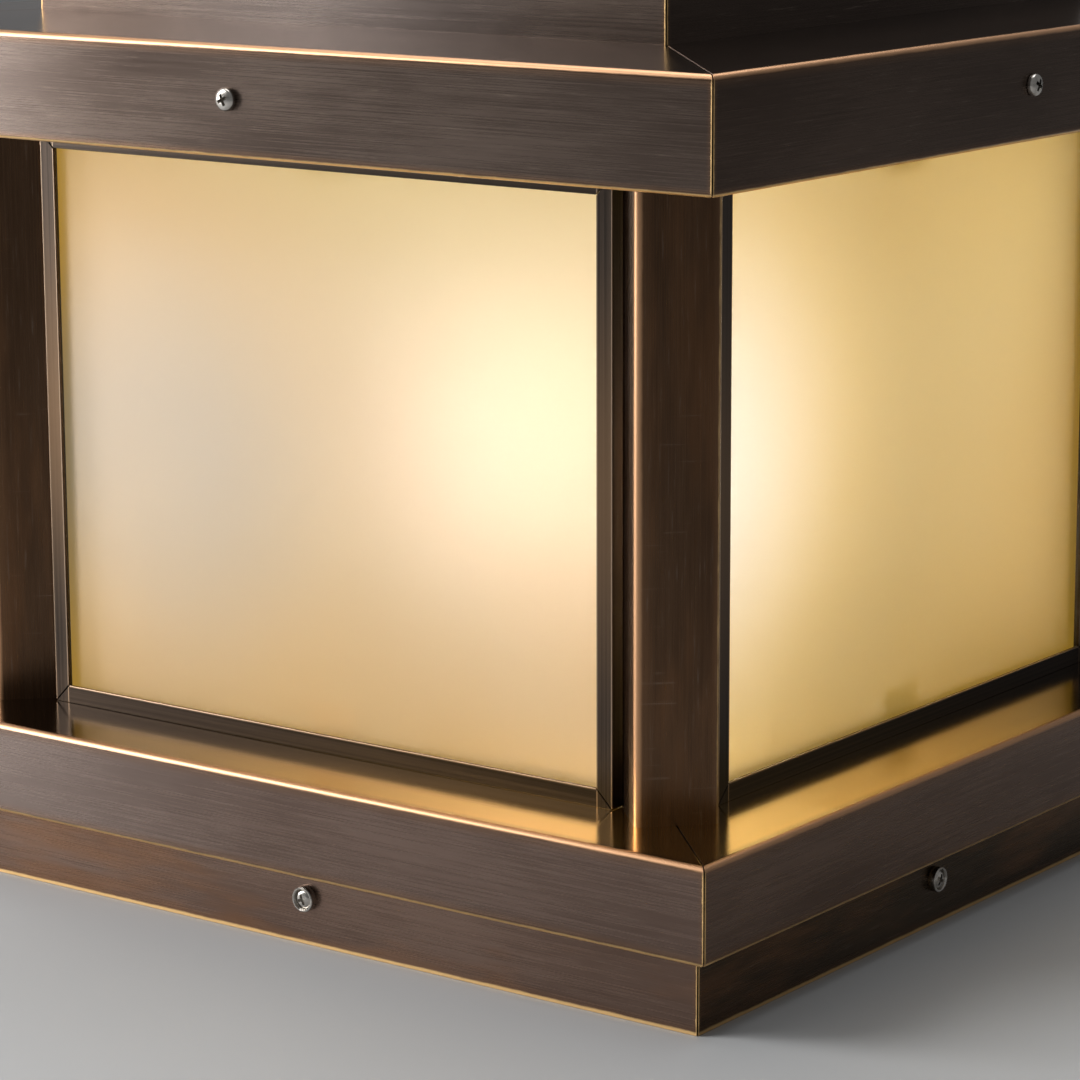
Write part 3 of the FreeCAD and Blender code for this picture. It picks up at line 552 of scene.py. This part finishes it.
def plain(name, base, roughness, metallic=0.0, mottle=0.12, scale=90.0, **sockets):
    """A finish of one colour with cloudy unevenness in tone, gloss and height."""
    finish = Finish(name)
    clouds = finish.noise((scale,) * 3, 5.0, 0.6)
    darker = colour(*(part * (1 - mottle) for part in base))
    lighter = colour(*(min(1.0, part * (1 + mottle)) for part in base))
    body = finish.mix(finish.fade(clouds, 0.3, 0.7), darker, lighter)
    return finish.done(finish.shade(
        Base_Color=body, Metallic=metallic, Roughness=roughness + (clouds - 0.5) * 0.2,
        Normal=finish.relief(finish.noise((scale * 12,) * 3, 2.0, 0.5), PITS), **sockets))


def striped_lead():
    """Green insulation with a yellow stripe."""
    finish = Finish("lead_green")
    stripe = finish.fade(finish.noise((40.0, 40.0, 600.0), 1.0, 0.5), 0.48, 0.52)
    body = finish.mix(stripe, LEAD_GREEN, LEAD_YELLOW)
    return finish.done(finish.shade(Base_Color=body, Roughness=0.45))


def floor_paint():
    """Pale grey floor with faint clouds."""
    finish = Finish("floor_paint")
    clouds = finish.noise((3.0, 3.0, 3.0), 3.0, 0.5)
    body = finish.mix(finish.fade(clouds, 0.3, 0.7), FLOOR_DARK, FLOOR_LIGHT)
    return finish.done(finish.shade(Base_Color=body, Roughness=0.6))


def backdrop_paper():
    """Pale paper that is seen, straight or in a reflection, but lights nothing."""
    finish = Finish("backdrop_paper")
    path = finish.node("ShaderNodeLightPath")
    seen = Amount(finish, path.outputs["Is Camera Ray"])
    for kind in ("Is Glossy Ray", "Is Transmission Ray"):
        seen = seen.most(Amount(finish, path.outputs[kind]))
    pale = finish.mix(seen, BLACK, PAPER_PALE)
    return finish.done(finish.shade(
        Base_Color=PAPER, Roughness=0.8, Emission_Color=pale, Emission_Strength=1.0))


# ---------------------------------------------------------------- this lantern's finishes

# Painted light and shade: the front and back lengths of each band take a lighter tone than its right and left
# ones.
UPPER = both_ways("upper_band_bronze", UPPER_HALF,
                  ((UPPER_TOP, 1.5 * MM, COPPER), (UPPER_FOOT, CUT_EDGE, GOLD)),
                  front_lit_tone=(1, 1, 1), side_shaded_tone=(0.95, 0.85, 0.76),
                  smooth_above=UPPER_TOP, sheen=(-0.15, 0.115, 0.34))
LOWER = both_ways("lower_band_bronze", LOWER_HALF,
                  ((LEDGE_TOP, 1.7 * MM, COPPER), (LOWER_FOOT, 1.4 * MM, GOLD)),
                  front_lit_tone=(1.6, 1.5, 1.5), side_shaded_tone=(1.6, 1.42, 1.3),
                  bare_above=LEDGE_TOP, sheen=(-0.15, 0.185, 0.42))
RISER = both_ways("riser_bronze", RISER_HALF, ((RISER_TOP, SHEET_FOLD, COPPER),),
                  front_lit_tone=(1.15, 1.15, 1.15), side_shaded_tone=(0.7, 0.65, 0.6),
                  sheen=(0.0, 0.085, 0.40))
SKIRT = both_ways("skirt_bronze", SKIRT_HALF, ((0.0, 1.3 * MM, GOLD),),
                  front_lit_tone=(1.8, 1.62, 1.55), side_shaded_tone=(0.72, 0.64, 0.45),
                  warmth=0.45)
POST = bronze("post_bronze", "z", post_rubs, (1.02, 0.78, 0.55), warmth=0.25, lines=0.3)
COVER = bronze("cover_bronze", "x", cover_rubs)
CHANNEL = dark_channel()
# Painted light and shade: one glass in two copies, the right and left panes clearer and less milky than the
# front and back ones, with about half their glow.
PANE = {
    "x": amber_pane("amber_pane_front", FRONT_GLASS, milkiness=0.16, warmth=1.0,
                    painted_glow_pattern=painted_dim_and_rising_glow),
    "y": amber_pane("amber_pane_side", SIDE_GLASS, milkiness=0.05, warmth=0.52,
                    painted_glow_pattern=painted_hot_spot),
}
STEEL = plain("plated_steel", (0.55, 0.55, 0.53), 0.42, 1.0)
BRIGHT = plain("bright_steel", (0.50, 0.47, 0.43), 0.22, 1.0, mottle=0.18, scale=500.0)
RUBBER = plain("soft_rubber", (0.035, 0.035, 0.034), 0.75)
SEALING = plain("sealing_strip", (0.045, 0.04, 0.036), 0.7)
BRASS = plain("brass", (0.72, 0.52, 0.22), 0.3, 1.0)
PORCELAIN = plain("porcelain", (0.84, 0.82, 0.77), 0.25, mottle=0.05, Coat_Weight=0.6)
BLOCK = plain("block_plastic", (0.78, 0.77, 0.72), 0.5, mottle=0.06)
HOUSING = plain("lamp_housing", (0.86, 0.86, 0.83), 0.45, mottle=0.04)
VITRITE = plain("lamp_insulator", (0.03, 0.026, 0.026), 0.2)
NICKEL = plain("lamp_metal", (0.68, 0.67, 0.64), 0.28, 1.0)
BROWN = plain("lead_brown", (0.20, 0.10, 0.05), 0.45)
BLUE = plain("lead_blue", (0.04, 0.12, 0.42), 0.45)
GREEN = striped_lead()
GLOW = lamp_glow()

# ---------------------------------------------------------------- dressing the frame

BAND_EDGE = 0.22 * MM
CHANNEL_CORNER = 0.12 * MM
COVER_EDGE = 0.4 * MM

DRESSED = {
    "roof_cover": COVER, "pane_seals": SEALING, "pane_brackets": STEEL,
    "head_ring": STEEL, "floor_plate": STEEL, "mounting_plate": STEEL,
    "roof_gasket": RUBBER, "cable_grommet": RUBBER, "skirt_screws": BRIGHT,
    "skirt_washers": BRIGHT, "skirt_nuts": BRIGHT, "roof_screws": BRIGHT,
    "roof_nuts": BRIGHT, "roof_cover_screws": BRIGHT, "post_screws": BRIGHT,
    "pane_bracket_screws": BRIGHT, "lampholder_screws": BRIGHT, "earth_screw": BRASS,
    "lampholder_shell": BRASS, "lampholder_contact": BRASS,
    "lampholder_body": PORCELAIN, "terminal_block": BLOCK, "lamp_diffuser": GLOW,
    "lamp_housing": HOUSING, "lamp_cap": NICKEL, "lamp_tip": NICKEL,
    "lamp_insulator": VITRITE, "lead_live": BROWN, "lead_neutral": BLUE,
    "lead_earth": GREEN,
}


def dress(node, material):
    """Give a frame node its finish."""
    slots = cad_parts[node].material_slots
    for slot in slots:
        slot.material = material
    if not slots:
        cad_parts[node].data.materials.append(material)


def soften(node, width):
    """Round the sharp edges of a frame node a little, as cut and folded sheet is."""
    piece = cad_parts[node]
    weld = piece.modifiers.new("weld", "WELD")
    weld.merge_threshold = 0.002 * MM
    flat = piece.modifiers.new("flat", "DECIMATE")
    flat.decimate_type = "DISSOLVE"
    flat.angle_limit = math.radians(1.0)
    edge = piece.modifiers.new("edge", "BEVEL")
    edge.width = width
    edge.segments = 2
    edge.limit_method = "ANGLE"
    edge.angle_limit = math.radians(40)
    edge.use_clamp_overlap = True


def dress_frame():
    """Finishes and softened edges of everything that stays as the frame has it."""
    for side in SIDES:
        grain = "x" if side in ("front", "back") else "y"
        dress("upper_band_" + side, UPPER[grain])
        dress("lower_band_" + side, LOWER[grain])
        dress("riser_" + side, RISER[grain])
        dress("skirt_" + side, SKIRT[grain])
        dress("pane_" + side, PANE[grain])
        dress("pane_frame_" + side, CHANNEL)
        for node in ("upper_band_", "lower_band_", "riser_", "skirt_"):
            soften(node + side, BAND_EDGE)
        soften("pane_frame_" + side, CHANNEL_CORNER)
    for corner in CORNERS:
        dress("post_" + corner, POST)
    for node, material in DRESSED.items():
        dress(node, material)
    soften("roof_cover", COVER_EDGE)


# ---------------------------------------------------------------- modelling


def start_clean():
    """Nothing selected, so that an operator acts on the new piece alone."""
    bpy.ops.object.select_all(action="DESELECT")


def choose_faces(piece, wanted):
    """Select the faces that the test names, and leave the piece in edit mode."""
    bpy.ops.object.mode_set(mode="EDIT")
    bpy.ops.mesh.select_mode(type="FACE")
    bpy.ops.mesh.select_all(action="DESELECT")
    bpy.ops.object.mode_set(mode="OBJECT")
    for face in piece.data.polygons:
        face.select = wanted(face)
    bpy.ops.object.mode_set(mode="EDIT")


def turned(name, rings, material, sides=48):
    """A lathe-turned piece on the Z axis. Each ring is (radius, height) in millimetres;
    the top face is drawn from ring to ring, and a last radius of 0 closes to a point."""
    (low_radius, low), (next_radius, level) = rings[:2]
    start_clean()
    bpy.ops.mesh.primitive_cone_add(
        vertices=sides, radius1=low_radius * MM, radius2=next_radius * MM,
        depth=(level - low) * MM, location=(0, 0, (low + level) / 2 * MM))
    piece = bpy.context.object
    piece.name = name
    bpy.ops.object.transform_apply(location=True, rotation=True, scale=True)
    choose_faces(piece, lambda face: face.normal.z > 0.9 and len(face.vertices) == sides)
    radius = next_radius
    for ring_radius, ring_level in rings[2:]:
        bpy.ops.mesh.extrude_region_move(
            TRANSFORM_OT_translate={"value": (0, 0, (ring_level - level) * MM)})
        if ring_radius == 0:
            bpy.ops.mesh.merge(type="CENTER")
            break
        share = ring_radius / radius
        bpy.ops.transform.resize(value=(share, share, 1),
                                 center_override=(0, 0, ring_level * MM))
        radius, level = ring_radius, ring_level
    bpy.ops.object.mode_set(mode="OBJECT")
    bpy.ops.object.shade_smooth_by_angle(angle=math.radians(35))
    piece.data.materials.append(material)
    return piece


def cut_cross(piece, top, reach, width, depth):
    """A cross recess in a screw's head, from two tapered bars, in millimetres."""
    for angle in (0, 90):
        start_clean()
        bpy.ops.mesh.primitive_cube_add(size=MM, scale=(reach * 2, width, depth * 2),
                                        location=(0, 0, top * MM),
                                        rotation=(0, 0, math.radians(angle)))
        bar = bpy.context.object
        bpy.ops.object.transform_apply(location=True, rotation=True, scale=True)
        choose_faces(bar, lambda face: face.normal.z < -0.9)
        bpy.ops.transform.resize(value=(0.75, 0.7, 1),
                                 center_override=(0, 0, (top - depth) * MM))
        bpy.ops.object.mode_set(mode="OBJECT")
        start_clean()
        piece.select_set(True)
        bpy.context.view_layer.objects.active = piece
        cut = piece.modifiers.new("cross", "BOOLEAN")
        cut.operation = "DIFFERENCE"
        cut.object = bar
        bpy.ops.object.modifier_apply(modifier=cut.name)
        bpy.data.objects.remove(bar)


def on_body(piece, body, node):
    """The piece rides on a body and takes the place of a frame node."""
    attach(piece, body)
    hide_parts(node)


def copies(model, stem, places, body, node):
    """A copy of a model for each side, each with its own mesh. The model goes."""
    for side, place in zip(SIDES, places):
        copy = model.copy()
        copy.data = model.data.copy()
        copy.name = stem + side
        copy.data.transform(place)
        bpy.context.scene.collection.objects.link(copy)
        on_body(copy, body, node)
    bpy.data.objects.remove(model)


def quarter_turn(quarter):
    return Matrix.Rotation(math.radians(90 * quarter), 4, "Z")


def twisted(degrees):
    return Matrix.Rotation(math.radians(degrees), 4, "Z")


def on_side(quarter, along, outward, height):
    """Place of a screw that points out of a side, its cross turned by its own twist."""
    return (quarter_turn(quarter)
            @ Matrix.Translation((along, -outward, height))
            @ Matrix.Rotation(math.radians(90), 4, "X")
            @ twisted(TWISTS[quarter]))


# ---------------------------------------------------------------- screws

TWISTS = (24, 62, 8, 41)
ROOF_SCREW_HEIGHT = UPPER_FOOT + 15 * MM
SKIRT_SCREW_HEIGHT = 13 * MM
SKIRT_SCREW_OFFSETS = (14 * MM, -27 * MM)
COVER_SCREW_INSET = 6 * MM

# Rings of turned pieces, (radius, height) in millimetres
SHANK = 1.45
PAN_HEAD = (
    (2.80, 0.0), (3.0, 0.18), (3.0, 0.95), (2.88, 1.35), (2.6, 1.68), (2.1, 1.95),
    (1.4, 2.13), (0.7, 2.19), (0, 2.2),
)
CROWN_HEAD = (
    (2.35, 0.5), (2.5, 1.25), (2.2, 1.6), (1.6, 1.85), (0.8, 1.98), (0, 2.0),
)
CUP_WASHER = (
    (3.4, 0.0), (3.5, 0.15), (3.5, 1.5), (3.42, 1.9), (3.2, 2.1), (2.95, 2.1),
    (2.78, 1.95), (2.62, 1.45), (2.56, 0.9),
)


def pan_screw(name, length):
    """A screw with a pan head and a cross recess. The length is in millimetres."""
    screw = turned(name, ((SHANK, -length), (SHANK, 0.0)) + PAN_HEAD, BRIGHT)
    cut_cross(screw, top=2.2, reach=1.95, width=1.05, depth=1.9)
    return screw


def make_roof_screws():
    """Pan heads, one in the middle of each upper band."""
    screw = pan_screw("roof_screw", 8.0)
    places = [on_side(quarter, 0, UPPER_HALF, ROOF_SCREW_HEIGHT) for quarter in range(4)]
    copies(screw, "roof_screw_", places, "roof", "roof_screws")


def make_skirt_screws():
    """Crowned screws, each sunk in a cup washer with a bright rim."""
    screw = turned("skirt_screw", ((SHANK, -8.4), (SHANK, 0.3)) + CROWN_HEAD, BRIGHT)
    cut_cross(screw, top=2.0, reach=1.8, width=1.0, depth=1.7)
    washer = turned("skirt_washer", CUP_WASHER, BRIGHT)
    places = [on_side(quarter, SKIRT_SCREW_OFFSETS[quarter % 2], SKIRT_HALF,
                      SKIRT_SCREW_HEIGHT) for quarter in range(4)]
    copies(screw, "skirt_screw_", places, "lantern", "skirt_screws")
    copies(washer, "skirt_washer_", places, "lantern", "skirt_washers")


def make_cover_screws():
    """Small pan heads round the rim of the roof cover."""
    screw = pan_screw("roof_cover_screw", 4.0)
    outward = RISER_HALF - COVER_SCREW_INSET
    places = [quarter_turn(quarter) @ Matrix.Translation((0, -outward, COVER_RIM))
              @ twisted(TWISTS[3 - quarter]) for quarter in range(4)]
    copies(screw, "roof_cover_screw_", places, "roof", "roof_cover_screws")


# ---------------------------------------------------------------- lamp, in millimetres

THREAD_PITCH = 3.63
THREAD_TURNS = 5
THREAD_STEPS = 6
THREAD_ROOT = 0.9
THREAD_DEPTH = 0.85
FLARE_STEPS = 16
DOME_STEPS = 18
GLOBE_SIDES = 64


def cap_rings(low, high, radius):
    """Threaded cap: a rounded foot, the thread's ridges and a plain collar."""
    rings = [(8.0, low), (11.6, low + 2.4)]
    for turn in range(THREAD_TURNS):
        foot = low + 2.6 + turn * THREAD_PITCH
        for step in range(THREAD_STEPS):
            ridge = THREAD_DEPTH * math.sin(math.pi * step / THREAD_STEPS) ** 2
            rings.append((radius - THREAD_ROOT + ridge,
                          foot + THREAD_PITCH * step / THREAD_STEPS))
    return rings + [(radius - THREAD_ROOT, high - 2.6), (radius, high - 2.2),
                    (radius, high)]


def flare_rings(low, high, neck, rim):
    """Housing that widens from the cap to the diffuser in a soft curve."""
    rings = [(neck, low)]
    for step in range(1, FLARE_STEPS + 1):
        share = step / FLARE_STEPS
        curve = share * share * (3 - 2 * share)
        rings.append((neck + (rim - neck) * (0.55 * share + 0.45 * curve),
                      low + (high - low) * share))
    return rings


def dome_rings(low, top, radius):
    """Upper part of a globe, from its cut at the housing to its top."""
    centre = top - radius
    start = math.asin((low - centre) / radius)
    rings = []
    for step in range(DOME_STEPS):
        angle = start + (math.pi / 2 - start) * step / DOME_STEPS
        rings.append((radius * math.cos(angle), centre + radius * math.sin(angle)))
    return rings + [(0, top)]


def make_lamp():
    """Screw-in lamp: tip, black insulator, threaded cap, flared housing, opal diffuser."""
    tip_low, tip_high = (corner.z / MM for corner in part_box("lamp_tip"))
    cap_low, cap_high = (corner.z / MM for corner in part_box("lamp_cap"))
    cap_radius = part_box("lamp_cap")[1].x / MM
    housing_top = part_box("lamp_housing")[1].z / MM
    globe_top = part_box("lamp_diffuser")[1].z / MM
    globe_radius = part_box("lamp_diffuser")[1].x / MM
    cut_height = housing_top - (globe_top - globe_radius)
    rim = math.sqrt(globe_radius ** 2 - cut_height ** 2)

    tip = ((3.6, tip_low), (4.4, tip_low + 0.3), (4.4, tip_high))
    on_body(turned("lamp_contact_tip", tip, NICKEL), "lamp_tip", "lamp_tip")
    insulator = ((6.4, tip_high), (7.9, cap_low))
    on_body(turned("lamp_black_insulator", insulator, VITRITE),
            "lamp", "lamp_insulator")
    on_body(turned("lamp_threaded_cap", cap_rings(cap_low, cap_high, cap_radius), NICKEL), "lamp", "lamp_cap")
    on_body(turned("lamp_flared_housing",
                   flare_rings(cap_high, housing_top, cap_radius + 0.3, rim), HOUSING,
                   GLOBE_SIDES), "lamp", "lamp_housing")
    on_body(turned("lamp_opal_diffuser",
                   dome_rings(housing_top, globe_top, globe_radius), GLOW,
                   GLOBE_SIDES), "lamp", "lamp_diffuser")


# ---------------------------------------------------------------- studio


def lay_floor():
    start_clean()
    bpy.ops.mesh.primitive_plane_add(size=24, location=(0, 0, 0))
    floor = bpy.context.object
    floor.name = "studio_floor"
    floor.data.materials.append(floor_paint())


def hang_backdrop():
    """A wide sheet behind the lantern, square to the camera."""
    start_clean()
    bpy.ops.mesh.primitive_plane_add(
        size=1, location=(-1.79, 2.41, 1.2), scale=(9, 2.4, 1),
        rotation=(math.radians(90), 0, math.radians(36.6)))
    paper = bpy.context.object
    paper.name = "studio_backdrop"
    bpy.ops.object.transform_apply(location=True, rotation=True, scale=True)
    paper.data.materials.append(backdrop_paper())


place_camera()
light_studio()
dress_frame()
make_roof_screws()
make_skirt_screws()
make_cover_screws()
make_lamp()
lay_floor()
hang_backdrop()
